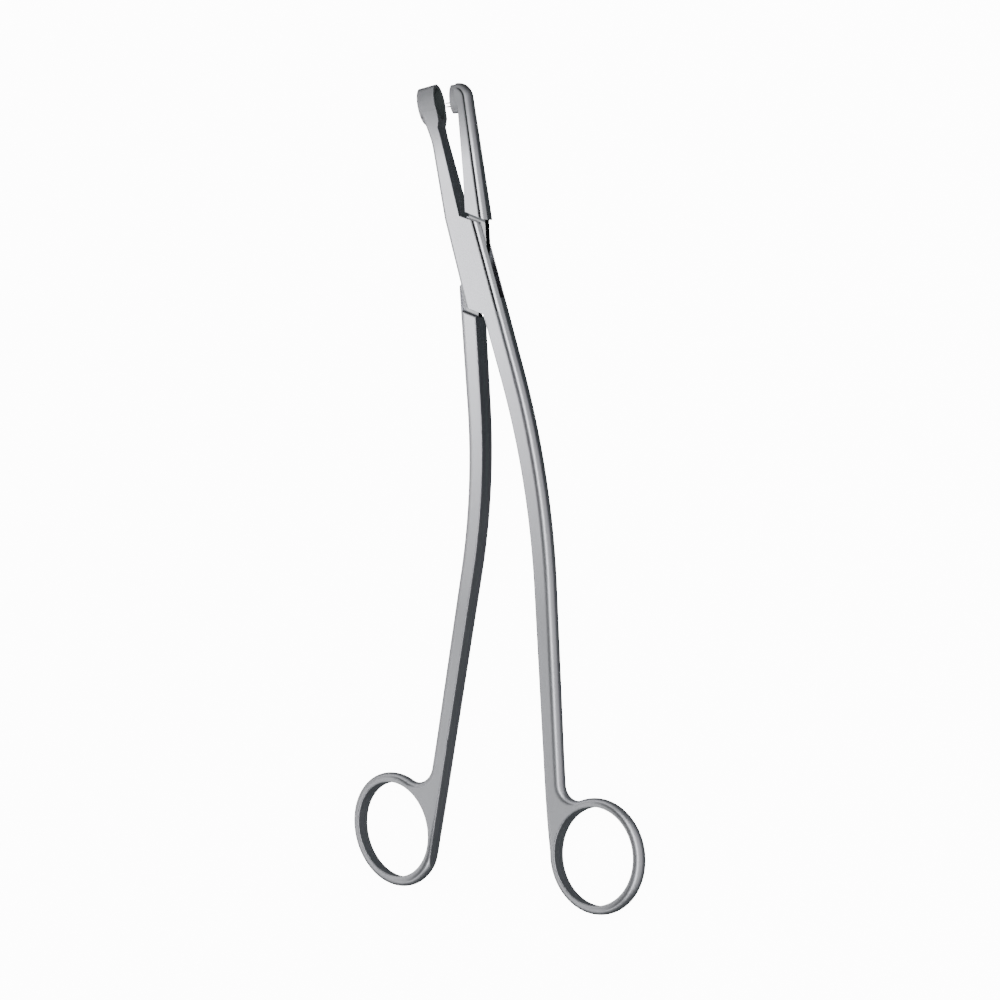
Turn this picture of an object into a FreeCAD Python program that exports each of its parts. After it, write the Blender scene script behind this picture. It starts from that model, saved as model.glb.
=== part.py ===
import FreeCAD, Part
import math
import os
import re
import Sketcher

# Punch biopsy forceps with finger rings and a box lock, lying on its rear face.
# The origin is on the pin's axis at the rear face of the lock, +Y runs towards the jaws
# and +Z comes out of the front face. Each half is drawn along its own axis, +Y up the arm,
# and turned about the pin to where it stands with the jaws slightly open.

document = FreeCAD.newDocument("punch_biopsy_forceps")

# Driving dimensions in millimetres and degrees.
SIZES = {
    # The lock: cheeks, slot, steps and pin.
    "lock_thickness": 5.5,
    "box_half_width": 5.85,
    "slot_width": 2.2,
    "slot_end": 11.8,
    "cheek_step_inner": 14.75,
    "cheek_step_outer": 10.9,
    "lock_seam": 15.5,
    "box_edge_round": 1.25,
    "pin_diameter": 3.2,
    "pin_clearance": 0.05,
    "side_clearance": 0.05,
    "swing_clearance": 0.3,
    # How each half stands about the pin, counter-clockwise from +Y.
    "box_half_tilt": 18.3,
    "tongue_half_tilt": 4.0,
    # The tongue and its shoulders.
    "tongue_half_width": 4.6,
    "shoulder_half_width": 5.6,
    "horn_root": 4.6,
    "horn_height": 5.6,
    "horn_tip_width": 0.15,
    "shoulder_inner": 15.4,
    "shoulder_outer": 12.55,
    "inner_face_offset": 0.4,
    "cup_arm_offset": 1.1,
    # The arm and head of the punch ring.
    "punch_arm_root": 5.55,
    "punch_neck_drop": 9.95,
    "punch_neck_width": 3.85,
    "punch_neck_proud": 0.4,
    "punch_neck_thickness": 3.9,
    "punch_rim_fade": 2.2,
    "punch_shoulder": 0.2,
    "punch_neck_bend": 40.0,
    "bite_height": 48.15,
    "punch_face_offset": 2.34,
    "punch_face_lean": 5.2,
    "punch_depth": 6.0,
    "punch_length": 10.8,
    "punch_width": 5.5,
    "punch_crown": 0.35,
    "bite_length": 9.0,
    "bite_width": 4.3,
    # The arm, hood and cup of the biting jaw.
    "cup_arm_waist_height": 26.0,
    "cup_arm_waist_bend": 60.0,
    "cup_arm_half_width": 5.65,
    "cup_arm_top_offset": 1.9,
    "hood_rise": 4.6,
    "hood_corner_offset": 1.35,
    "hood_corner_bend": 4.6,
    "hood_lip_offset": 3.0,
    "hood_lip_drop": 2.6,
    "hood_thickness": 4.6,
    "cup_arm_round": 2.2,
    "cup_lean": 1.5,
    "cup_rim_offset": 5.0,
    "cup_play": 0.3,
    "cup_wall": 0.5,
    "cup_depth": 2.2,
    # Two spikes that stand out of the cup and hold the tissue.
    "spike_diameter": 0.8,
    "spike_tip_diameter": 0.3,
    "spike_reach": 2.5,
    "spike_spacing": 1.05,
    "spike_drop": 1.45,
    # Both shanks bend the same way below the lock.
    "shank_bend_angle": 14.7,
    "shank_bend_distance": 65.0,
    "box_shank_bend_radius": 240.0,
    "box_shank_root_width": 6.25,
    "box_shank_bend_width": 6.0,
    "box_shank_end_width": 5.3,
    "box_shank_leg": 80.0,
    "tongue_shank_bend_radius": 190.0,
    "tongue_shank_bend_width": 5.35,
    "tongue_shank_end_width": 4.75,
    "tongue_shank_leg": 74.0,
    # Finger rings.
    "ring_thickness": 4.6,
    "inner_face_stock": 2.5,
    "web_overlap": 0.15,
    "bead_round": 2.2,
    "bore_round": 0.15,
    "crotch_round": 5.0,
    "box_ring_distance": 109.6,
    "box_ring_offset": 15.75,
    "box_ring_length": 29.0,
    "box_ring_width": 27.0,
    "box_ring_lean": 27.2,
    "box_ring_end_band": 2.7,
    "box_ring_side_band": 2.4,
    "tongue_ring_distance": 101.9,
    "tongue_ring_offset": 14.0,
    "tongue_ring_length": 28.2,
    "tongue_ring_width": 23.0,
    "tongue_ring_lean": 38.0,
    "tongue_ring_end_band": 2.9,
    "tongue_ring_side_band": 2.5,
}

sheet = document.addObject("Spreadsheet::Sheet", "Sizes")
for row, (alias, number) in enumerate(SIZES.items(), start=1):
    sheet.set(f"A{row}", alias)
    sheet.set(f"B{row}", str(number))
    sheet.setAlias(f"B{row}", alias)
document.recompute()

TOLERANCE = 0.001
# How far a cutting outline runs past the metal that it cuts.
MARGIN = 3.0
# An upright face looks to one side of the plan when its normal's share that way passes this.
STEEP = 0.8


def formula(text):
    """The expression with each size's name written as a reference to its cell."""
    def cell(found):
        name = found[0]
        return f"Sizes.{name}" if name in SIZES else name

    return re.sub(r"[a-z][a-z_]+", cell, text)


def value(text):
    """The number that an expression over the sizes gives."""
    return float(sheet.evalExpression(formula(text)))


def bind(item, **expressions):
    """Ties properties of an object to expressions over the sizes."""
    for name, text in expressions.items():
        item.setExpression(name.replace("__", "."), formula(text))


class Half:
    """One half: how it stands about the pin and on which side of its inner face the shank lies."""

    def __init__(self, prefix, side):
        self.prefix = prefix
        self.side = side
        self.tilt = f"{prefix}_half_tilt"
        self.leg = f"{prefix}_shank_leg"
        self.bend_radius = f"{prefix}_shank_bend_radius"
        self.bend_width = f"{prefix}_shank_bend_width"
        self.end_width = f"{prefix}_shank_end_width"
        self.ring = f"{prefix}_ring"
        # The shank's inner face crosses the axis by the same small offset on both halves.
        self.face = f"({-side} * inner_face_offset)"

    def across(self, distance):
        """An X coordinate that lies a distance from the shank's inner face, on the side of the metal."""
        return f"({self.face} + ({self.side}) * ({distance}))"


BOX_HALF = Half("box", 1)
TONGUE_HALF = Half("tongue", -1)


def new_body(name, tilt):
    """A body that stands in the plane of the lock's middle, turned about the pin."""
    body = document.addObject("PartDesign::Body", name)
    body.Label = name
    bind(body, Placement__Rotation__Angle=tilt, Placement__Base__z="lock_thickness / 2")
    return body


def new_sketch(body, name, role="XY_Plane"):
    """A sketch on one of the body's own planes."""
    sketch = body.newObject("Sketcher::SketchObject", name)
    plane = next(item for item in body.Origin.OriginFeatures if item.Role == role)
    sketch.AttachmentSupport = [(plane, "")]
    sketch.MapMode = "FlatFace"
    return sketch


def constrain(sketch, kind, geometry, text):
    """Adds one constraint whose value is an expression over the sizes."""
    unit = " * 1 deg" if kind == "Angle" else ""
    start = math.radians(value(text)) if kind == "Angle" else value(text)
    index = sketch.addConstraint(Sketcher.Constraint(kind, *geometry, start))
    sketch.setExpression(f"Constraints[{index}]", formula(f"({text}){unit}"))


def pin_point(sketch, geometry, position, x_text, y_text):
    """Holds a point of the sketch at a place given by two expressions."""
    constrain(sketch, "DistanceX", (-1, 1, geometry, position), x_text)
    constrain(sketch, "DistanceY", (-1, 1, geometry, position), y_text)


def draw_outline(sketch, corners):
    """Draws a closed outline through corners (x, y) or (x, y, rounding radius), all expressions."""
    count = len(corners)
    points = [FreeCAD.Vector(value(corner[0]), value(corner[1]), 0) for corner in corners]
    entries = list(points)
    exits = list(points)
    arcs = {}
    for index, corner in enumerate(corners):
        if len(corner) < 3:
            continue
        radius = value(corner[2])
        here = points[index]
        back = (points[index - 1] - here).normalize()
        ahead = (points[(index + 1) % count] - here).normalize()
        half_angle = back.getAngle(ahead) / 2
        reach = radius / math.tan(half_angle)
        entries[index] = here + back * reach
        exits[index] = here + ahead * reach
        centre = here + (back + ahead).normalize() * (radius / math.sin(half_angle))
        turns_left = back.cross(ahead).z < 0
        ends = (entries[index], exits[index]) if turns_left else (exits[index], entries[index])
        angles = [math.atan2(end.y - centre.y, end.x - centre.x) for end in ends]
        if angles[1] < angles[0]:
            angles[1] += 2 * math.pi
        circle = Part.Circle(centre, FreeCAD.Vector(0, 0, 1), radius)
        arc = sketch.addGeometry(Part.ArcOfCircle(circle, *angles), False)
        arcs[index] = (arc, 1 if turns_left else 2, 2 if turns_left else 1)
    lines = [
        sketch.addGeometry(Part.LineSegment(exits[index], entries[(index + 1) % count]), False)
        for index in range(count)
    ]
    for index, corner in enumerate(corners):
        before = lines[index - 1]
        after = lines[index]
        if index in arcs:
            arc, entry, leave = arcs[index]
            sketch.addConstraint(Sketcher.Constraint("Tangent", before, 2, arc, entry))
            sketch.addConstraint(Sketcher.Constraint("Tangent", arc, leave, after, 1))
            constrain(sketch, "Radius", (arc,), corner[2])
            vertex = sketch.addGeometry(Part.Point(points[index]), True)
            sketch.addConstraint(Sketcher.Constraint("PointOnObject", vertex, 1, before))
            sketch.addConstraint(Sketcher.Constraint("PointOnObject", vertex, 1, after))
            pin_point(sketch, vertex, 1, corner[0], corner[1])
        else:
            sketch.addConstraint(Sketcher.Constraint("Coincident", before, 2, after, 1))
            pin_point(sketch, after, 1, corner[0], corner[1])


def draw_ellipse(sketch, x_text, y_text, length, width, lean):
    """Draws an ellipse whose long axis leans counter-clockwise from the sketch's Y axis."""
    centre = FreeCAD.Vector(value(x_text), value(y_text), 0)
    angle = math.radians(90 + value(lean))
    along = FreeCAD.Vector(math.cos(angle), math.sin(angle), 0)
    beside = FreeCAD.Vector(-math.sin(angle), math.cos(angle), 0)
    curve = Part.Ellipse(centre + along * (value(length) / 2), centre + beside * (value(width) / 2), centre)
    ellipse = sketch.addGeometry(curve, False)
    sketch.exposeInternalGeometry(ellipse)
    long_axis = ellipse + 1
    short_axis = ellipse + 2
    pin_point(sketch, ellipse, 3, x_text, y_text)
    constrain(sketch, "Distance", (long_axis,), length)
    constrain(sketch, "Distance", (short_axis,), width)
    drawn = sketch.Geometry[long_axis]
    run = drawn.EndPoint - drawn.StartPoint
    turned = math.degrees(math.atan2(run.y, run.x))
    quarter = 90 * round((turned - value(lean)) / 90)
    constrain(sketch, "Angle", (long_axis,), f"{quarter} + {lean}")


def settle(feature):
    """Recomputes the document and stops if the feature failed."""
    document.recompute()
    if feature.Shape.isNull() or "Invalid" in feature.State or not feature.Shape.isValid():
        owner = feature.getParentGeoFeatureGroup().Label
        raise RuntimeError(f"{feature.Label} in {owner} failed: {feature.State}")
    return feature


def add_pad(body, name, sketch, length, reverse=False, both_ways=True):
    """Adds metal over a sketch, half to each side of its plane or all to one side."""
    pad = body.newObject("PartDesign::Pad", name)
    pad.Profile = sketch
    bind(pad, Length=length)
    pad.SideType = "Symmetric" if both_ways else "One side"
    pad.Reversed = reverse
    return settle(pad)


def add_pocket(body, name, sketch, length=None, reverse=False, both_ways=True):
    """Cuts a sketch out of the body, through all of it or to a length, and checks that it took metal away."""
    before = body.Tip.Shape.Volume
    pocket = body.newObject("PartDesign::Pocket", name)
    pocket.Profile = sketch
    if length is None:
        pocket.Type = "ThroughAll"
    else:
        bind(pocket, Length=length)
    pocket.SideType = "Symmetric" if both_ways else "One side"
    pocket.Reversed = reverse
    settle(pocket)
    if pocket.Shape.Volume > before - TOLERANCE:
        raise RuntimeError(f"{body.Label}: {name} cut nothing")
    return pocket


def add_bore(body, name, radius):
    """Cuts a round hole on the pin's axis."""
    sketch = new_sketch(body, f"{name}_outline")
    curve = Part.Circle(FreeCAD.Vector(0, 0, 0), FreeCAD.Vector(0, 0, 1), value(radius))
    circle = sketch.addGeometry(curve, False)
    sketch.addConstraint(Sketcher.Constraint("Coincident", circle, 3, -1, 1))
    constrain(sketch, "Radius", (circle,), radius)
    add_pocket(body, name, sketch)


def is_level(edge):
    """Whether the edge runs along the front or the rear face and not through the thickness."""
    box = edge.BoundBox
    return box.ZMax * box.ZMin > 0 and box.ZLength < 0.5 * max(box.XLength, box.YLength)


def upright_faces(shape, wanted):
    """The faces square to the plan for which a test of outward normal and centre holds."""
    chosen = []
    for face in shape.Faces:
        first, last, low, high = face.ParameterRange
        normal = face.normalAt((first + last) / 2, (low + high) / 2)
        if abs(normal.z) < TOLERANCE and wanted(normal, face.CenterOfMass):
            chosen.append(face)
    return chosen


def round_sides(body, name, radius, wanted):
    """Rounds the front and rear edges of the upright faces that the test picks."""
    faces = upright_faces(body.Tip.Shape, wanted)
    rims = [edge for face in faces for edge in face.Edges if is_level(edge)]
    return add_fillet(body, name, radius, lambda edge: any(edge.isSame(rim) for rim in rims))


def add_fillet(body, name, radius, wanted):
    """Rounds the edges of the body that the test picks."""
    base = body.Tip
    edges = [f"Edge{number}" for number, edge in enumerate(base.Shape.Edges, start=1) if wanted(edge)]
    if not edges:
        raise RuntimeError(f"{body.Label}: {name} found no edge")
    fillet = body.newObject("PartDesign::Fillet", name)
    fillet.Base = (base, edges)
    bind(fillet, Radius=radius)
    return settle(fillet)


def cut_thickness(body, stations):
    """Slims the body from front and rear: stations (y, thickness) going up the body, as expressions."""
    for name, sign in (("front_slope", 1), ("rear_slope", -1)):
        sketch = new_sketch(body, name, "YZ_Plane")
        slope = [(height, f"{sign} * ({thickness}) / 2") for height, thickness in stations]
        outside = f"{sign} * (lock_thickness / 2 + {MARGIN})"
        corners = [(stations[-1][0], outside), (stations[0][0], outside)]
        draw_outline(sketch, slope + corners)
        add_pocket(body, f"{name}_cut", sketch)


# The shoulder line of the tongue half runs from the arm's inner face down to its outer side.
SHOULDER_SLOPE = "((shoulder_outer - shoulder_inner) / (cup_arm_half_width + cup_arm_offset))"


def shoulder(x_text):
    """The height of the upper shoulder line at a distance across the tongue half."""
    return f"(shoulder_inner + ({x_text} + cup_arm_offset) * {SHOULDER_SLOPE})"


def make_box_lock():
    """The box: two cheeks joined by a bridge at each closed slot end."""
    body = new_body("box_lock", BOX_HALF.tilt)
    plan = new_sketch(body, "cheek_outline")
    draw_outline(plan, [
        ("-inner_face_offset", "-lock_seam"),
        ("box_shank_root_width - inner_face_offset", "-lock_seam"),
        ("box_half_width", "cheek_step_outer"),
        ("inner_face_offset", "cheek_step_inner"),
        ("inner_face_offset", "lock_seam"),
        ("inner_face_offset - punch_arm_root", "lock_seam"),
        ("-box_half_width", "-cheek_step_outer"),
        ("-inner_face_offset", "-cheek_step_inner"),
    ])
    add_pad(body, "cheeks", plan, "lock_thickness")
    middle = value("box_half_width / 2")
    round_sides(
        body, "upper_side_rounds", "box_edge_round",
        lambda normal, centre: normal.x < -STEEP and centre.x < -middle,
    )
    round_sides(
        body, "lower_side_rounds", "bead_round",
        lambda normal, centre: normal.x > STEEP and centre.x > middle,
    )
    slot = new_sketch(body, "slot_outline")
    beyond = f"(box_half_width + {MARGIN})"
    past = f"(lock_seam + {MARGIN})"
    draw_outline(slot, [
        (f"-{beyond}", f"-{past}"),
        ("-inner_face_offset", f"-{past}"),
        ("-inner_face_offset", "-slot_end"),
        (beyond, "-slot_end"),
        (beyond, past),
        ("inner_face_offset", past),
        ("inner_face_offset", "slot_end"),
        (f"-{beyond}", "slot_end"),
    ])
    add_pocket(body, "slot", slot, "slot_width")
    add_bore(body, "pin_seat", "pin_diameter / 2")
    return body


def make_lock_tongue():
    """The flat tongue that passes through the slot, between the two shoulders of its half."""
    body = new_body("lock_tongue", TONGUE_HALF.tilt)
    plan = new_sketch(body, "tongue_outline")
    upper_left = "(swing_clearance - cup_arm_offset)"
    swing = "(slot_end - swing_clearance)"
    corner = f"sqrt({swing} ^ 2 - tongue_half_width ^ 2)"
    draw_outline(plan, [
        ("tongue_half_width", f"-{corner}"),
        ("tongue_half_width", shoulder("tongue_half_width")),
        ("-cup_arm_offset", shoulder("-cup_arm_offset")),
        (upper_left, f"sqrt({swing} ^ 2 - {upper_left} ^ 2)"),
        ("-tongue_half_width", corner),
        ("-tongue_half_width", "shoulder_half_width - tongue_half_width - horn_height"),
        ("-shoulder_half_width", "-horn_height"),
        ("-shoulder_half_width", f"-{shoulder('shoulder_half_width')}"),
        ("inner_face_offset", f"-{shoulder('-inner_face_offset')}"),
        ("inner_face_offset", f"-sqrt({swing} ^ 2 - inner_face_offset ^ 2)"),
    ])
    add_pad(body, "tongue_plate", plan, "slot_width - 2 * side_clearance")
    add_bore(body, "pin_bore", "pin_diameter / 2 + pin_clearance")
    return body


def make_lock_pin():
    """The pin, ground flush with both cheeks."""
    pin = document.addObject("Part::Cylinder", "lock_pin")
    pin.Label = "lock_pin"
    bind(pin, Radius="pin_diameter / 2", Height="lock_thickness")
    return pin


def tilt_sketch(sketch, x_text, y_text, lean):
    """Stands a sketch on the YZ plane at a point of the plan, its face leaning from the Y axis."""
    sketch.AttachmentOffset = FreeCAD.Placement(
        FreeCAD.Vector(0, 0, 0), FreeCAD.Rotation(FreeCAD.Vector(0, 1, 0), 1)
    )
    bind(
        sketch,
        AttachmentOffset__Base__x=y_text,
        AttachmentOffset__Base__z=x_text,
        AttachmentOffset__Rotation__Angle=lean,
    )


def make_punch_ring_jaw():
    """The arm that carries the open oval punch ring."""
    body = new_body("punch_ring_jaw", BOX_HALF.tilt)
    head_foot = "(bite_height - bite_length / 2)"
    inner_top = "(inner_face_offset + punch_neck_proud)"
    neck_height = "(bite_height - punch_neck_drop)"
    plan = new_sketch(body, "arm_outline")
    draw_outline(plan, [
        ("inner_face_offset - punch_arm_root", "lock_seam"),
        ("inner_face_offset", "lock_seam"),
        (inner_top, f"{head_foot} - punch_rim_fade"),
        ("punch_face_offset - bite_length / 2 * tan(punch_face_lean)", head_foot),
        ("punch_face_offset", "bite_height"),
        ("punch_face_offset - punch_depth", "bite_height"),
        (f"{inner_top} - punch_neck_width", neck_height, "punch_neck_bend"),
    ])
    add_pad(body, "arm", plan, "lock_thickness")
    cut_thickness(body, [
        ("lock_seam", "lock_thickness"),
        (neck_height, "punch_neck_thickness"),
        ("bite_height", "punch_width - punch_shoulder"),
    ])
    round_sides(body, "arm_rounds", "box_edge_round", lambda normal, centre: normal.x < -STEEP)
    ring = new_sketch(body, "ring_outline", "YZ_Plane")
    tilt_sketch(ring, "punch_face_offset", "bite_height", "-punch_face_lean")
    draw_ellipse(ring, "punch_crown", "0", "punch_length", "punch_width", "-90")
    add_pad(body, "ring", ring, "punch_depth", reverse=True, both_ways=False)
    hole = new_sketch(body, "bite_opening", "YZ_Plane")
    tilt_sketch(hole, "punch_face_offset", "bite_height", "-punch_face_lean")
    draw_ellipse(hole, "0", "0", "bite_length", "bite_width", "-90")
    add_pocket(body, "bite_hole", hole, f"2 * (punch_depth + {MARGIN})")
    return body


def make_bite_cup_jaw():
    """The arm with the hooded tip and the oval cup that bites into the punch ring."""
    body = new_body("bite_cup_jaw", TONGUE_HALF.tilt)
    plan = new_sketch(body, "arm_outline")
    draw_outline(plan, [
        ("-cup_arm_offset", shoulder("-cup_arm_offset")),
        ("cup_arm_half_width", shoulder("cup_arm_half_width")),
        ("hood_corner_offset", "bite_height + hood_rise", "hood_corner_bend"),
        ("-hood_lip_offset", "bite_height + hood_rise"),
        ("-hood_lip_offset", "bite_height"),
        ("-cup_arm_top_offset", "bite_height - hood_lip_drop"),
        ("-cup_arm_offset", "cup_arm_waist_height", "cup_arm_waist_bend"),
    ])
    add_pad(body, "arm", plan, "lock_thickness")
    cut_thickness(body, [
        ("shoulder_inner", "lock_thickness"),
        ("bite_height + hood_rise", "hood_thickness"),
        (f"(bite_height + hood_rise) + {MARGIN}", "hood_thickness"),
    ])
    round_sides(body, "arm_rounds", "cup_arm_round", lambda normal, centre: normal.x + normal.y > STEEP)
    length = "(bite_length - 2 * cup_play)"
    width = "(bite_width - 2 * cup_play)"
    cup = new_sketch(body, "cup_outline", "YZ_Plane")
    tilt_sketch(cup, "-cup_rim_offset", "bite_height", "cup_lean")
    draw_ellipse(cup, "0", "0", length, width, "-90")
    add_pad(body, "cup", cup, "cup_rim_offset - cup_arm_top_offset + cup_wall", both_ways=False)
    hollow = new_sketch(body, "cup_hollow_outline", "YZ_Plane")
    tilt_sketch(hollow, "-cup_rim_offset", "bite_height", "cup_lean")
    draw_ellipse(hollow, "0", "0", f"{length} - 2 * cup_wall", f"{width} - 2 * cup_wall", "-90")
    add_pocket(body, "cup_hollow", hollow, "cup_depth", reverse=True, both_ways=False)
    return body


def make_tissue_spike(name, place):
    """A slender pointed spike on the cup's floor."""
    spike = document.addObject("Part::Cone", name)
    spike.Label = name
    # Distances along the cup's axis from its rim, and along the rim from its centre.
    depth = "cup_depth"
    along = f"(-spike_drop + ({place}) * spike_spacing)"
    x_local = f"(-cup_rim_offset - {along} * sin(cup_lean) + {depth} * cos(cup_lean))"
    y_local = f"(bite_height + {along} * cos(cup_lean) + {depth} * sin(cup_lean))"
    spike.Placement = FreeCAD.Placement(
        FreeCAD.Vector(0, 0, 0), FreeCAD.Rotation(FreeCAD.Vector(0, 1, 0), -90)
    )
    bind(
        spike,
        Radius1="spike_diameter / 2",
        Radius2="spike_tip_diameter / 2",
        Height="cup_depth + spike_reach",
        Placement__Base__x=f"{x_local} * cos(tongue_half_tilt) - {y_local} * sin(tongue_half_tilt)",
        Placement__Base__y=f"{x_local} * sin(tongue_half_tilt) + {y_local} * cos(tongue_half_tilt)",
        Placement__Base__z="lock_thickness / 2",
        Placement__Rotation="rotation(vector(0; 0; 1); tongue_half_tilt + cup_lean)"
        " * rotation(vector(0; 1; 0); -90)",
    )
    return spike


def make_shank(half, name, top):
    """A shank with a flat inner face, from the lock round its bend to the web of the finger ring."""
    body = new_body(name, half.tilt)
    side = half.side
    leg = half.leg
    end_width = half.end_width
    bend_width = half.bend_width
    vertex = (half.face, "-shank_bend_distance")
    foot = (
        f"({half.face} - {leg} * sin(shank_bend_angle))",
        f"(-shank_bend_distance - {leg} * cos(shank_bend_angle))",
    )
    outer_vertex = (
        half.across(bend_width),
        f"(-shank_bend_distance - ({side}) * {bend_width} * tan(shank_bend_angle / 2))",
    )
    outer_foot = (
        f"({foot[0]} + ({side}) * {end_width} * cos(shank_bend_angle))",
        f"({foot[1]} - ({side}) * {end_width} * sin(shank_bend_angle))",
    )
    plan = new_sketch(body, "shank_outline")
    draw_outline(plan, [
        *top,
        (*outer_vertex, f"{half.bend_radius} + ({side}) * {bend_width}"),
        outer_foot,
        foot,
        (*vertex, half.bend_radius),
    ])
    add_pad(body, "shank", plan, "lock_thickness")
    slope = f"((lock_thickness - ring_thickness) / (-lock_seam - {foot[1]}))"
    run_out = f"({end_width} + {MARGIN})"
    cut_thickness(body, [
        (f"{foot[1]} - {run_out}", f"ring_thickness - {run_out} * {slope}"),
        ("-lock_seam", "lock_thickness"),
    ])
    round_sides(body, "outer_rounds", "bead_round", lambda normal, centre: normal.x * side > STEEP)
    return body


def cut_shoulder(body):
    """Cuts the shank back to its shoulder and leaves a horn each side of the tongue, up past the cheek."""
    past = f"(inner_face_offset + {MARGIN})"
    tip = "(horn_tip_width - shoulder_half_width)"
    recess = new_sketch(body, "cheek_recess")
    draw_outline(recess, [
        ("-horn_root", f"-{shoulder('horn_root')}"),
        (past, f"-{shoulder(f'-{past}')}"),
        (past, f"{MARGIN} - horn_height"),
        (tip, f"{MARGIN} - horn_height"),
        (tip, "-horn_height"),
    ])
    add_pocket(body, "cheek_recess_cut", recess)
    beyond = f"(shoulder_half_width + {MARGIN})"
    slit = new_sketch(body, "tongue_slit")
    draw_outline(slit, [
        (f"-{beyond}", f"-{shoulder(beyond)}"),
        (past, f"-{shoulder(f'-{past}')}"),
        (past, f"{MARGIN} - horn_height"),
        (f"-{beyond}", f"{MARGIN} - horn_height"),
    ])
    add_pocket(body, "tongue_slit_cut", slit, "slot_width - 2 * side_clearance")
    return body


def make_finger_ring(half, name):
    """A finger ring with its flat web, drawn along the lower part of its shank."""
    body = document.addObject("PartDesign::Body", name)
    body.Label = name
    side = half.side
    leg = half.leg
    size = half.ring
    bind(
        body,
        Placement__Rotation__Angle=f"{half.tilt} - shank_bend_angle",
        Placement__Base__x=f"{half.face} * cos({half.tilt}) + shank_bend_distance * sin({half.tilt})",
        Placement__Base__y=f"{half.face} * sin({half.tilt}) - shank_bend_distance * cos({half.tilt})",
        Placement__Base__z="lock_thickness / 2",
    )
    centre_x = f"({side}) * {size}_offset"
    centre_y = f"-{size}_distance"
    lean = f"{size}_lean"
    outer_length = f"({size}_length + 2 * {size}_end_band)"
    outer_width = f"({size}_width + 2 * {size}_side_band)"
    disc = new_sketch(body, "ring_outline")
    draw_ellipse(disc, centre_x, centre_y, outer_length, outer_width, lean)
    add_pad(body, "ring_disc", disc, "ring_thickness")
    reach = f"sqrt(({outer_length} / 2 * sin({lean})) ^ 2 + ({outer_width} / 2 * cos({lean})) ^ 2)"
    rise = f"(({outer_length} ^ 2 - {outer_width} ^ 2) / 8 * sin(2 * {lean}) / {reach})"
    web = new_sketch(body, "web_outline")
    draw_outline(web, [
        (f"({-side}) * inner_face_stock", f"-{leg}"),
        (f"({-side}) * ({reach} - {size}_offset - web_overlap)", f"{centre_y} + ({side}) * {rise}"),
        (f"({side}) * {half.end_width}", centre_y),
        (f"({side}) * {half.end_width}", f"-{leg}"),
    ])
    add_pad(body, "web", web, "ring_thickness")
    crotch_x = value(f"({side}) * {half.end_width}")
    middle_y = value(centre_y)
    below_top = -value(leg) - TOLERANCE

    def is_crotch(edge):
        """Whether the edge stands upright where the shank's outer side runs into the ring."""
        ends = [vertex.Point for vertex in edge.Vertexes]
        upright = abs(ends[0].z - ends[-1].z) > TOLERANCE
        on_side = all(abs(end.x - crotch_x) < TOLERANCE for end in ends)
        return upright and on_side and all(middle_y < end.y < below_top for end in ends)

    add_fillet(body, "crotch", "crotch_round", is_crotch)
    hole = new_sketch(body, "finger_hole")
    draw_ellipse(hole, centre_x, centre_y, f"{size}_length", f"{size}_width", lean)
    round_sides(body, "outer_bead", "bead_round", lambda normal, centre: centre.y < below_top)
    inner_face = new_sketch(body, "inner_face_plane")
    draw_outline(inner_face, [
        ("0", f"-{leg} + {MARGIN}"),
        (f"({-side}) * {size}_length", f"-{leg} + {MARGIN}"),
        (f"({-side}) * {size}_length", f"{centre_y} - {size}_length"),
        ("0", f"{centre_y} - {size}_length"),
    ])
    add_pocket(body, "inner_face", inner_face)
    add_pocket(body, "finger_opening", hole)
    add_fillet(body, "bore_edges", "bore_round", lambda edge: edge.isClosed())
    return body


make_box_lock()
make_lock_tongue()
make_lock_pin()
make_punch_ring_jaw()
make_bite_cup_jaw()
make_tissue_spike("upper_tissue_spike", "0.5")
make_tissue_spike("lower_tissue_spike", "-0.5")
make_shank(BOX_HALF, "box_half_shank", [
    (BOX_HALF.face, "-lock_seam"),
    ("box_shank_root_width - inner_face_offset", "-lock_seam"),
])
cut_shoulder(make_shank(TONGUE_HALF, "tongue_half_shank", [
    (TONGUE_HALF.face, "-horn_height"),
    ("-shoulder_half_width", "-horn_height"),
]))
make_finger_ring(BOX_HALF, "box_half_finger_ring")
make_finger_ring(TONGUE_HALF, "tongue_half_finger_ring")

document.recompute()

PIECE_TYPES = ("PartDesign::Body", "Part::Cylinder", "Part::Cone")
pieces = [item for item in document.Objects if item.TypeId in PIECE_TYPES]
for item in document.Objects:
    if any(word in str(item.State) for word in ("Invalid", "Error")):
        raise RuntimeError(f"{item.Label} is in state {item.State}")
for piece in pieces:
    if piece.Shape.isNull() or not piece.Shape.isValid():
        raise RuntimeError(f"{piece.Label} has no valid shape")

os.makedirs("parts", exist_ok=True)
for piece in pieces:
    piece.Shape.exportStep(os.path.join("parts", piece.Label + ".step"))
    print(piece.Label, "solids", len(piece.Shape.Solids), "volume", round(piece.Shape.Volume, 2))
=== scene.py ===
"""Looks of a box-lock biopsy forceps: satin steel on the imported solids, a pale table and soft light."""

import logging
import math
from dataclasses import dataclass, field, replace
from enum import Enum

import bpy
from mathutils import Matrix, Vector


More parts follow.
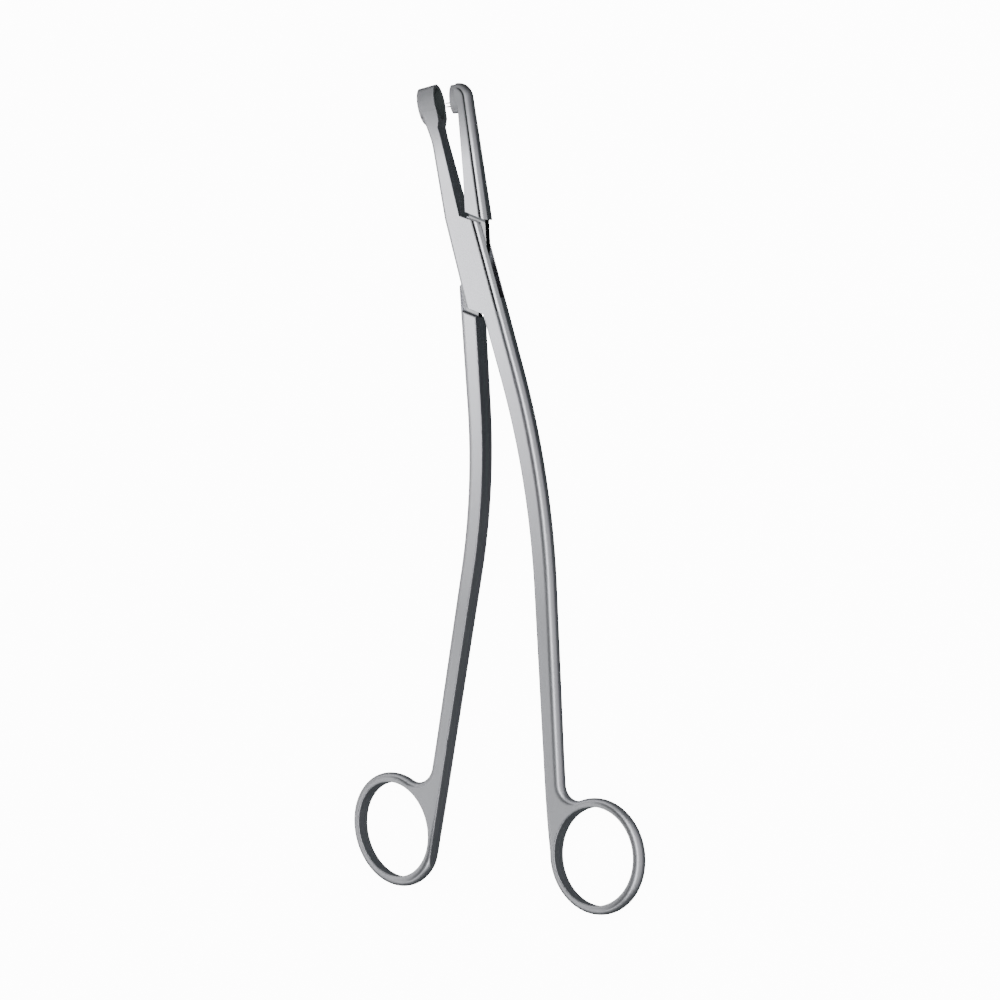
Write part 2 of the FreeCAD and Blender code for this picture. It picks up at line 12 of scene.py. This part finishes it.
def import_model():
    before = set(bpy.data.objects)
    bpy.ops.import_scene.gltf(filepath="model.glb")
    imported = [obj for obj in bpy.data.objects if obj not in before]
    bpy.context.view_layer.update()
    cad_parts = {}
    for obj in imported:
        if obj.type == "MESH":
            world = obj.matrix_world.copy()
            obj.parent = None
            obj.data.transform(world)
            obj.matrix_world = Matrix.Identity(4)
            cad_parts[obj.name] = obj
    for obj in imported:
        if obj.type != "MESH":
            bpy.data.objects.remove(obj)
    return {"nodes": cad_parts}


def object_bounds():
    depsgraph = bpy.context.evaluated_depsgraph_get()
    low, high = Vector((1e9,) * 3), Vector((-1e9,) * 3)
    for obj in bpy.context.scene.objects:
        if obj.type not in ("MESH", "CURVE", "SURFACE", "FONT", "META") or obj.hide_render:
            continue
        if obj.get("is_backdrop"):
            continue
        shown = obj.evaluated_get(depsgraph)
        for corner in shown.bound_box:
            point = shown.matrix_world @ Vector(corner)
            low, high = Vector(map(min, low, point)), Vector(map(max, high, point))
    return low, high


log = logging.getLogger("forceps")

MM = 0.001
BEVEL_SAMPLES = 8
RUB_GAIN = 6.0

Colour = tuple[float, float, float]
Triple = tuple[float, float, float]


def up_the_arm(turn: float) -> Triple:
    """The direction in the plan that lies turn degrees from +Y, counter-clockwise."""
    angle = math.radians(turn)
    return (-math.sin(angle), math.cos(angle), 0.0)


class Lay(Enum):
    """Which way the polishing lines of a finish run on its piece."""

    ALONG = "along"
    ROUND = "round"


class Value:
    """A number or a shader socket that takes part in Python arithmetic by adding Math nodes."""

    def __init__(self, graph: "Graph", source: object) -> None:
        """Keeps the graph that new nodes go to, and the socket or number."""
        self.graph = graph
        self.source = source

    def _math(self, operation: str, *others: object) -> "Value":
        """Adds one Math node.

        Args:
            operation: the Math node's operation.
            others: the second and third inputs, as Values or numbers.

        Returns:
            The node's output.
        """
        return self.graph.node("ShaderNodeMath", {"operation": operation}, {
            index: item for index, item in enumerate((self, *others))
        })["Value"]

    def __add__(self, other: object) -> "Value":
        """This plus other."""
        return self._math("ADD", other)

    def __sub__(self, other: object) -> "Value":
        """This minus other."""
        return self._math("SUBTRACT", other)

    def __rsub__(self, other: object) -> "Value":
        """Other minus this."""
        return Value(self.graph, other)._math("SUBTRACT", self)

    def __mul__(self, other: object) -> "Value":
        """This times other."""
        return self._math("MULTIPLY", other)

    def __truediv__(self, other: object) -> "Value":
        """This divided by other."""
        return self._math("DIVIDE", other)

    def __rtruediv__(self, other: object) -> "Value":
        """Other divided by this."""
        return Value(self.graph, other)._math("DIVIDE", self)

    __radd__ = __add__
    __rmul__ = __mul__

    def size(self) -> "Value":
        """This without its sign."""
        return self._math("ABSOLUTE")

    def held(self) -> "Value":
        """This held between 0 and 1."""
        return self._math("MAXIMUM", 0.0)._math("MINIMUM", 1.0)


class Graph:
    """The nodes of one material."""

    def __init__(self, name: str) -> None:
        """Makes an empty node material.

        Args:
            name: the material's name.
        """
        self.material = bpy.data.materials.new(name)
        self.material.use_nodes = True
        self.tree = self.material.node_tree
        self.tree.nodes.clear()
        own = self.node("ShaderNodeTexCoord", {}, {})
        self.point = own["Object"]
        self.normal = own["Normal"]

    def node(
        self, kind: str, settings: dict[str, object], inputs: dict[object, object]
    ) -> dict[str, Value]:
        """Adds a node.

        Args:
            kind: the node's type.
            settings: its properties, set before its sockets.
            inputs: values or links by the socket's name or place.

        Returns:
            The node's outputs by name.
        """
        made = self.tree.nodes.new(kind)
        for key, item in settings.items():
            setattr(made, key, item)
        for key, item in inputs.items():
            source = item.source if isinstance(item, Value) else item
            if isinstance(source, bpy.types.NodeSocket):
                self.tree.links.new(source, made.inputs[key])
            else:
                made.inputs[key].default_value = source
        return {output.name: Value(self, output) for output in made.outputs if output.enabled}

    def place(self, turn: float, stretch: Triple) -> Value:
        """The point in the piece's own coordinates, turned in the plan and stretched.

        Args:
            turn: the angle in degrees from +Y, counter-clockwise, that the lines run at.
            stretch: the scale of the three axes after the turn.

        Returns:
            The mapped point.
        """
        turned = self.node("ShaderNodeMapping", {}, {
            "Vector": self.point, "Rotation": (0.0, 0.0, -math.radians(turn)),
        })["Vector"]
        return self.node("ShaderNodeMapping", {}, {"Vector": turned, "Scale": stretch})["Vector"]

    def noise(self, point: Value, scale: float, detail: float = 2.0, roughness: float = 0.5) -> Value:
        """Smooth noise about 0.5.

        Args:
            point: where it is read.
            scale: grains per metre.
            detail: octaves.
            roughness: weight of the finer octaves.

        Returns:
            The noise value.
        """
        return self.node("ShaderNodeTexNoise", {}, {
            "Vector": point, "Scale": scale, "Detail": detail, "Roughness": roughness,
        })["Fac"]

    def tint(self, amount: Value, low: Value | Colour, high: Value | Colour) -> Value:
        """A colour between two colours.

        Args:
            amount: 0 for the first and 1 for the second.
            low: the first colour.
            high: the second colour.

        Returns:
            The mixed colour.
        """
        first, second = ((*end, 1.0) if isinstance(end, tuple) else end for end in (low, high))
        return self.node("ShaderNodeMix", {"data_type": "RGBA"}, {
            0: amount, 6: first, 7: second,
        })["Result"]

    def parts(self, vector: Value) -> dict[str, Value]:
        """The X, Y and Z of a vector."""
        return self.node("ShaderNodeSeparateXYZ", {}, {"Vector": vector})

    def reach(self, origin: Triple, direction: Triple) -> Value:
        """How far the point lies from an origin along a direction.

        Args:
            origin: the origin in millimetres.
            direction: the direction, of length 1.

        Returns:
            The signed distance in millimetres.
        """
        offset = self.node("ShaderNodeVectorMath", {"operation": "SUBTRACT"}, {
            0: self.point, 1: tuple(number * MM for number in origin),
        })["Vector"]
        along = self.node("ShaderNodeVectorMath", {"operation": "DOT_PRODUCT"}, {
            0: offset, 1: direction,
        })["Value"]
        return along / MM

    def away(self, seams: tuple["Seam | FlushPin", ...], reach: float) -> Value:
        """How clear the point is of the seams to the neighbouring nodes of the same forging.

        Args:
            seams: the seams.
            reach: how far from a seam its influence goes, in millimetres.

        Returns:
            0 at a seam and 1 beyond its reach.
        """
        clear = Value(self, 1.0)
        for seam in seams:
            clear = clear * (seam.gap(self).size() / reach - 1.0).held()
        return clear

    def edge(self, reach: float, seams: tuple["Seam | FlushPin", ...]) -> tuple[Value, Value]:
        """Finds the sharp edges.

        Args:
            reach: how far from an edge its influence goes, in millimetres.
            seams: the seams to neighbouring nodes, whose edges aren't edges of the real piece.

        Returns:
            How near an edge the point is, from 0 to 1, and the normal rounded over the edges.
        """
        clear = self.away(seams, reach)
        rounded = self.node("ShaderNodeBevel", {"samples": BEVEL_SAMPLES}, {"Radius": reach * MM})["Normal"]
        true = self.node("ShaderNodeNewGeometry", {}, {})["Normal"]
        soft = self.node("ShaderNodeMix", {"data_type": "VECTOR"}, {
            0: clear, 4: true, 5: rounded,
        })["Result"]
        match = self.node("ShaderNodeVectorMath", {"operation": "DOT_PRODUCT"}, {
            0: soft, 1: true,
        })["Value"]
        return ((1.0 - match) * RUB_GAIN).held(), soft

    def finish(self, sockets: dict[str, object]) -> bpy.types.Material:
        """Closes the material with one Principled shader.

        Args:
            sockets: that shader's values and links.

        Returns:
            The material.
        """
        shader = self.node("ShaderNodeBsdfPrincipled", {}, sockets)["BSDF"]
        self.node("ShaderNodeOutputMaterial", {}, {"Surface": shader})
        return self.material


@dataclass(frozen=True)
class Seam:
    """A flat meeting of two nodes of one forging, at (x, y), square to a line turn degrees from +Y."""

    x: float
    y: float
    turn: float

    def gap(self, graph: Graph) -> Value:
        """How far the point lies from the seam.

        Args:
            graph: the material that the nodes go to.

        Returns:
            The signed distance in millimetres.
        """
        return graph.reach((self.x, self.y, 0.0), up_the_arm(self.turn))


@dataclass(frozen=True)
class FlushPin:
    """The round seam between the pin and the cheek that it is ground flush with."""

    radius: float = 1.6

    def gap(self, graph: Graph) -> Value:
        """How far the point lies from the pin's rim.

        Args:
            graph: the material that the nodes go to.

        Returns:
            The signed distance in millimetres.
        """
        flat = graph.node("ShaderNodeVectorMath", {"operation": "MULTIPLY"}, {
            0: graph.point, 1: (1.0, 1.0, 0.0),
        })["Vector"]
        reach = graph.node("ShaderNodeVectorMath", {"operation": "LENGTH"}, {0: flat})["Value"]
        return reach / MM - self.radius


@dataclass(frozen=True)
class Hollow:
    """An oval opening along the plan, in millimetres, whose inside is painted dark as shade and left
    rougher.
    """

    x: float
    y: float
    turn: float
    length: float
    width: float
    middle: float = 2.75
    margin: float = 0.06
    sharpness: float = 25.0
    colour: Colour = (0.10, 0.115, 0.118)
    roughness: float = 0.5

    def inside(self, graph: Graph) -> Value:
        """Whether the point lies on the opening's wall or within it.

        Args:
            graph: the material that the nodes go to.

        Returns:
            1 within the opening and 0 outside it.
        """
        centre = (self.x, self.y, self.middle)
        along = graph.reach(centre, up_the_arm(self.turn)) / (self.length / 2)
        deep = graph.reach(centre, (0.0, 0.0, 1.0)) / (self.width / 2)
        return ((1.0 + self.margin - along * along - deep * deep) * self.sharpness).held()


@dataclass(frozen=True)
class Fade:
    """Painted shade and a rougher finish that come in along Y, none at start and all of it at end, in
    millimetres.
    """

    start: float
    end: float
    shade: float
    roughness: float

    def amount(self, graph: Graph) -> Value:
        """How far the change has come at the point, from 0 to 1."""
        return ((graph.parts(graph.point)["Y"] / MM - self.start) / (self.end - self.start)).held()


@dataclass(frozen=True)
class PaintedCreaseShade:
    """A painted dark line of shade where a flat face runs into the rounded side that looks towards +X."""

    strength: float = 1.0
    reach: float = 0.06
    fall: float = 0.95
    gain: float = 1.5
    side_gain: float = 6.0
    colour: Colour = (0.035, 0.038, 0.04)

    def amount(self, graph: Graph) -> Value:
        """How much of the painted dark line shows.

        Args:
            graph: the material that the nodes go to.

        Returns:
            0 for none of it and the strength for all of it.
        """
        normal = graph.parts(graph.normal)
        line = 1.0 - (normal["Z"].size() - (1.0 - self.reach)).size() / (self.reach * self.fall)
        return (line.held() * self.gain).held() * (normal["X"] * self.side_gain).held() * self.strength


@dataclass(frozen=True)
class SlotShadow:
    """The dark of the slot on the tongue: on its sides and in a line at each step of the lock."""

    steps: tuple[Seam, ...]
    reach: float = 0.6
    gain: float = 2.0
    strength: float = 0.9
    steepest: float = 0.7
    side_gain: float = 5.0
    colour: Colour = (0.05, 0.055, 0.06)

    def darken(self, graph: Graph, colour: Value) -> Value:
        """Darkens a colour where the slot's shadow lies.

        Args:
            graph: the material that the nodes go to.
            colour: the colour in the open.

        Returns:
            The colour with the shadow.
        """
        side = ((self.steepest - graph.parts(graph.normal)["Z"].size()) * self.side_gain).held()
        colour = graph.tint(side, colour, self.colour)
        for step in self.steps:
            near = ((1.0 - step.gap(graph).size() / self.reach) * self.gain).held()
            colour = graph.tint(near * self.strength, colour, self.colour)
        return colour


@dataclass(frozen=True)
class Grain:
    """The fine marks of a satin face: polishing lines, grit and soft patches, in grains per metre."""

    lines: float = 5200.0
    grit: float = 2600.0
    patches: float = 90.0
    line_stretch: float = 0.06
    patch_stretch: float = 0.4
    contrast: float = 2.2
    patch_roughness: float = 0.10
    grit_roughness: float = 0.09
    height: float = 0.000012
    strength: float = 0.5

    def marks(self, graph: Graph, turn: float, lay: Lay) -> tuple[Value, Value, Value]:
        """Reads the marks at the point.

        Args:
            graph: the material that the nodes go to.
            turn: the angle of the lines in degrees from +Y.
            lay: which way the lines run.

        Returns:
            The lines, the grit and the patches, each about 0.5.
        """
        stretch = (1.0, self.line_stretch, 1.0) if lay is Lay.ALONG else (1.0, 1.0, self.line_stretch)
        lines = graph.noise(graph.place(turn, stretch), self.lines, 3.0, 0.6)
        grit = graph.noise(graph.place(0.0, (1.0, 1.0, 1.0)), self.grit, 4.0, 0.65)
        patches = graph.noise(graph.place(turn, (1.0, self.patch_stretch, 1.0)), self.patches, 2.0)
        return lines, grit, patches


@dataclass(frozen=True)
class SatinSteel:
    """Forged stainless steel with a satin grain, edges lighter from wear and a painted sheen, and painted
    shade where set: at the tip, on the handle's flats, in creases, hollows and the slot.
    """

    light: Colour = (0.655, 0.655, 0.70)
    dark: Colour = (0.575, 0.58, 0.61)
    worn_and_sheen: Colour = (0.72, 0.72, 0.74)
    # The colour that the painted shade at the tip and on the handle's level faces darkens to.
    shaded: Colour = (0.28, 0.285, 0.30)
    roughness: float = 0.27
    edge_roughness: float = 0.18
    edge_round: float = 0.22
    edge_wear_and_sheen: float = 0.6
    turn: float = 0.0
    lay: Lay = Lay.ALONG
    grain: Grain = Grain()
    # The tip and the handle get painted shade as well as a rougher finish.
    tip: Fade = Fade(30.0, 46.0, shade=0.85, roughness=0.5)
    handle: Fade = Fade(-20.0, -100.0, shade=0.85, roughness=0.42)
    level_least: float = 0.8
    level_gain: float = 5.0
    seams: tuple[Seam | FlushPin, ...] = ()
    crease_shade: PaintedCreaseShade | None = None
    hollow: Hollow | None = None
    slot_shadow: SlotShadow | None = None

    def material(self, name: str) -> bpy.types.Material:
        """Makes the material.

        Args:
            name: its name.

        Returns:
            The node material.
        """
        graph = Graph(name)
        lines, grit, patches = self.grain.marks(graph, self.turn, self.lay)
        near_edge, soft = graph.edge(self.edge_round, self.seams)
        at_tip = self.tip.amount(graph)
        at_handle = self.handle.amount(graph)
        level = ((graph.parts(graph.normal)["Z"].size() - self.level_least) * self.level_gain).held()

        tone = (lines * 0.4 + grit * 0.3 + patches * 0.3 - 0.5) * self.grain.contrast + 0.5
        colour = graph.tint(tone.held(), self.dark, self.light)
        # Edges lighter towards worn_and_sheen: part real wear, part painted sheen.
        colour = graph.tint(near_edge * self.edge_wear_and_sheen, colour, self.worn_and_sheen)
        # Painted shade: the jaws' tip, and the handle's level faces, darkened towards the shaded colour.
        colour = graph.tint(at_tip * self.tip.shade, colour, self.shaded)
        colour = graph.tint(at_handle * level * self.handle.shade, colour, self.shaded)

        rough = self.roughness + at_handle * (self.handle.roughness - self.roughness)
        rough = rough + at_tip * (self.tip.roughness - self.roughness)
        rough = rough + (patches - 0.5) * self.grain.patch_roughness
        rough = rough + (grit - 0.5) * self.grain.grit_roughness
        rough = rough + near_edge * (self.edge_roughness - self.roughness)

        # Painted shade: a dark line where the flat face turns into the rounded side.
        if self.crease_shade:
            colour = graph.tint(self.crease_shade.amount(graph), colour, self.crease_shade.colour)
        # Painted shade inside the opening, with a rougher finish there.
        if self.hollow:
            hollow_shade = self.hollow.inside(graph)
            colour = graph.tint(hollow_shade, colour, self.hollow.colour)
            rough = rough + hollow_shade * (self.hollow.roughness - self.roughness)
        if self.slot_shadow:
            colour = self.slot_shadow.darken(graph, colour)
        relief = graph.node("ShaderNodeBump", {}, {
            "Strength": self.grain.strength, "Distance": self.grain.height,
            "Height": lines * 0.5 + grit * 0.5, "Normal": soft,
        })["Normal"]
        return graph.finish({
            "Base Color": colour, "Metallic": 1.0, "Roughness": rough.held(), "Normal": relief,
        })


@dataclass(frozen=True)
class TableTop:
    """The pale matt table, lifted to white."""

    colour: Colour = (0.93, 0.93, 0.935)
    roughness: float = 0.9
    lift: float = 12.0

    def material(self, name: str) -> bpy.types.Material:
        """Makes the material.

        Args:
            name: its name.

        Returns:
            The node material.
        """
        return Graph(name).finish({
            "Base Color": (*self.colour, 1.0), "Roughness": self.roughness,
            "Emission Color": (1.0, 1.0, 1.0, 1.0), "Emission Strength": self.lift,
        })


@dataclass
class Half:
    """One forged half of the forceps, with the finish of each of its nodes."""

    body: str
    arm_turn: float
    handle_turn: float
    arm_nodes: tuple[str, ...]
    handle_nodes: tuple[str, ...]
    spike_nodes: tuple[str, ...] = ()
    tongue_nodes: tuple[str, ...] = ()
    seams: tuple[tuple[Seam | FlushPin, tuple[str, ...]], ...] = ()
    edge_rounds: dict[str, float] = field(default_factory=dict)
    hollows: dict[str, Hollow] = field(default_factory=dict)
    slot_shadow: SlotShadow | None = None

    def dress(self, nodes: dict[str, bpy.types.Object]) -> None:
        """Gives each node of this half its finish.

        Args:
            nodes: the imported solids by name.
        """
        # The arm and handle finishes carry the painted dark crease line.
        arm = SatinSteel(turn=self.arm_turn, crease_shade=PaintedCreaseShade())
        handle = SatinSteel(
            turn=self.handle_turn, edge_roughness=0.27, crease_shade=PaintedCreaseShade(strength=0.6, reach=0.10),
        )
        # The tongue is the same steel, its colours painted darker as shade inside the slot.
        tongue = SatinSteel(
            light=(0.42, 0.42, 0.44), dark=(0.34, 0.345, 0.35), turn=self.arm_turn,
            slot_shadow=self.slot_shadow,
        )
        # The spikes are the same steel, painted near black as shade.
        spike = SatinSteel(
            light=(0.03, 0.03, 0.033), dark=(0.02, 0.02, 0.022), worn_and_sheen=(0.04, 0.04, 0.04),
            roughness=0.5, lay=Lay.ROUND, tip=Fade(30.0, 46.0, shade=0.0, roughness=0.5),
        )
        for finish, names in (
            (arm, self.arm_nodes),
            (handle, self.handle_nodes),
            (spike, self.spike_nodes),
            (tongue, self.tongue_nodes),
        ):
            for name in names:
                seams = tuple(seam for seam, sides in self.seams if name in sides)
                edge_round = self.edge_rounds.get(name, finish.edge_round)
                own = replace(finish, seams=seams, edge_round=edge_round, hollow=self.hollows.get(name))
                self.paint(nodes[name], own.material(f"{name}_steel"))

    def paint(self, node: bpy.types.Object, material: bpy.types.Material) -> None:
        """Puts a material on every slot of a node.

        Args:
            node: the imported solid.
            material: its finish.
        """
        for slot in node.material_slots:
            slot.material = material
        log.info("%s of %s: %s", node.name, self.body, material.name)


@dataclass
class Panel:
    """One soft light, turn degrees from +Z towards +X and lift degrees from there towards +Y.

    Its width runs level with the table and its height rises from it.
    """

    name: str
    turn: float
    width: float
    height: float
    glow: float
    lift: float = 0.0
    shift: float = 0.0
    distance: float = 0.7

    def towards(self) -> Vector:
        """The direction from the forceps to the panel."""
        turn = math.radians(self.turn)
        lift = math.radians(self.lift)
        return Vector((math.sin(turn) * math.cos(lift), math.sin(lift), math.cos(turn) * math.cos(lift)))

    def power(self) -> float:
        """The lamp's power for the glow of its face."""
        return self.glow * self.width * self.height


@dataclass
class Studio:
    """The table, the soft lights and the camera at the photograph's angle."""

    view_turn: float = 35.0
    millimetres_a_pixel: float = 0.2878
    image: float = 1000.0
    pivot_x: float = 476.5
    pivot_y: float = 265.0
    lock_middle: float = 2.75
    table_size: float = 6.0
    table_gap: float = 0.02
    aim: Triple = (0.0, -0.06, 0.0)
    world: Colour = (0.055, 0.064, 0.066)
    panels: tuple[Panel, ...] = field(default_factory=lambda: (
        Panel("key_panel", turn=-36.0, width=0.60, height=0.22, glow=8.6, shift=0.02),
        Panel("strip_panel", turn=33.0, width=1.6, height=0.30, glow=14.0),
        Panel("side_panel", turn=82.0, width=1.6, height=0.9, glow=1.7),
        Panel("left_panel", turn=-88.0, width=0.45, height=0.9, glow=1.5),
        Panel("rim_panel", turn=-60.0, lift=52.0, width=0.9, height=0.22, glow=3.0),
        Panel("sky_panel", turn=-45.0, lift=42.0, width=1.3, height=0.9, glow=1.1),
        Panel("low_panel", turn=-48.0, lift=-38.0, width=1.1, height=0.4, glow=4.5),
    ))

    def axes(self) -> tuple[Vector, Vector, Vector]:
        """Works out the directions of the photograph's view.

        Returns:
            Right, up and towards the camera.
        """
        turn = math.radians(self.view_turn)
        return (
            Vector((math.cos(turn), 0.0, -math.sin(turn))),
            Vector((0.0, 1.0, 0.0)),
            Vector((math.sin(turn), 0.0, math.cos(turn))),
        )

    def add_camera(self) -> None:
        """Adds the camera, without perspective, as the photograph has next to none."""
        right, up, back = self.axes()
        step = self.millimetres_a_pixel * MM
        data = bpy.data.cameras.new("camera")
        data.type = "ORTHO"
        data.ortho_scale = self.image * step
        data.clip_start = 0.01
        data.clip_end = 10.0
        camera = bpy.data.objects.new("camera", data)
        bpy.context.scene.collection.objects.link(camera)
        middle = self.image / 2
        camera.location = (
            right * ((middle - self.pivot_x) * step)
            + up * ((self.pivot_y - middle) * step)
            + Vector((0.0, 0.0, self.lock_middle * MM))
            + back
        )
        camera.rotation_euler = Matrix((right, up, back)).transposed().to_euler()
        bpy.context.scene.camera = camera

    def add_table(self, lowest: float) -> None:
        """Adds the table top, a hair below the forceps.

        Args:
            lowest: the height of the forceps' lowest face in metres.
        """
        level = lowest - self.table_gap * MM
        bpy.ops.mesh.primitive_plane_add(size=self.table_size, location=(0.0, 0.0, level))
        table = bpy.context.object
        table.name = "table_top"
        table.data.materials.append(TableTop().material("table_paint"))
        table.visible_glossy = False
        table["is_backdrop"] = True

    def add_lights(self) -> None:
        """Adds the panels, all turned to the lock."""
        for panel in self.panels:
            data = bpy.data.lights.new(panel.name, "AREA")
            data.shape = "RECTANGLE"
            data.size = panel.width
            data.size_y = panel.height
            data.energy = panel.power()
            lamp = bpy.data.objects.new(panel.name, data)
            bpy.context.scene.collection.objects.link(lamp)
            towards = panel.towards()
            shift = Vector((0.0, panel.shift, 0.0))
            lamp.location = Vector(self.aim) + towards * panel.distance + shift
            lamp.rotation_euler = towards.to_track_quat("Z", "Y").to_euler()
        world = bpy.data.worlds.new("room")
        world.use_nodes = True
        backdrop = world.node_tree.nodes["Background"]
        backdrop.inputs["Color"].default_value = (*self.world, 1.0)
        backdrop.inputs["Strength"].default_value = 1.0
        bpy.context.scene.world = world


def corners() -> list[list[float]]:
    """The shown object's lowest and highest corner, as plain lists."""
    return [list(corner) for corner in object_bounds()]


def main() -> None:
    """Loads the solids, dresses both halves and sets up the studio."""
    logging.basicConfig(level=logging.INFO, format="%(message)s")
    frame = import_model()
    solid_box = corners()
    halves = (
        Half(
            "box_half", 18.3, 3.6,
            arm_nodes=("punch_ring_jaw", "box_lock", "lock_pin"),
            handle_nodes=("box_half_shank", "box_half_finger_ring"),
            seams=(
                (FlushPin(), ("box_lock", "lock_pin")),
                (Seam(-4.867, 14.716, 18.3), ("punch_ring_jaw", "box_lock")),
                (Seam(4.867, -14.716, 18.3), ("box_lock", "box_half_shank")),
                (Seam(25.054, -141.681, 3.6), ("box_half_shank", "box_half_finger_ring")),
            ),
            edge_rounds={"box_half_shank": 0.6, "box_half_finger_ring": 0.6},
            hollows={"punch_ring_jaw": Hollow(-12.9, 46.45, 13.1, 9.0, 4.3)},
        ),
        Half(
            "tongue_half", 4.0, -10.7,
            arm_nodes=("bite_cup_jaw",),
            handle_nodes=("tongue_half_shank", "tongue_half_finger_ring"),
            spike_nodes=("upper_tissue_spike", "lower_tissue_spike"),
            tongue_nodes=("lock_tongue",),
            seams=(
                (Seam(-8.806, -137.528, -10.7), ("tongue_half_shank", "tongue_half_finger_ring")),
            ),
            edge_rounds={"tongue_half_shank": 0.6, "tongue_half_finger_ring": 0.6, "bite_cup_jaw": 0.3},
            slot_shadow=SlotShadow((Seam(1.12, 13.58, -18.9), Seam(-1.3, -14.1, -18.9))),
        ),
    )
    for half in halves:
        half.dress(frame["nodes"])
    studio = Studio()
    studio.add_camera()
    studio.add_table(solid_box[0][2])
    studio.add_lights()


if __name__ == "__main__":
    main()
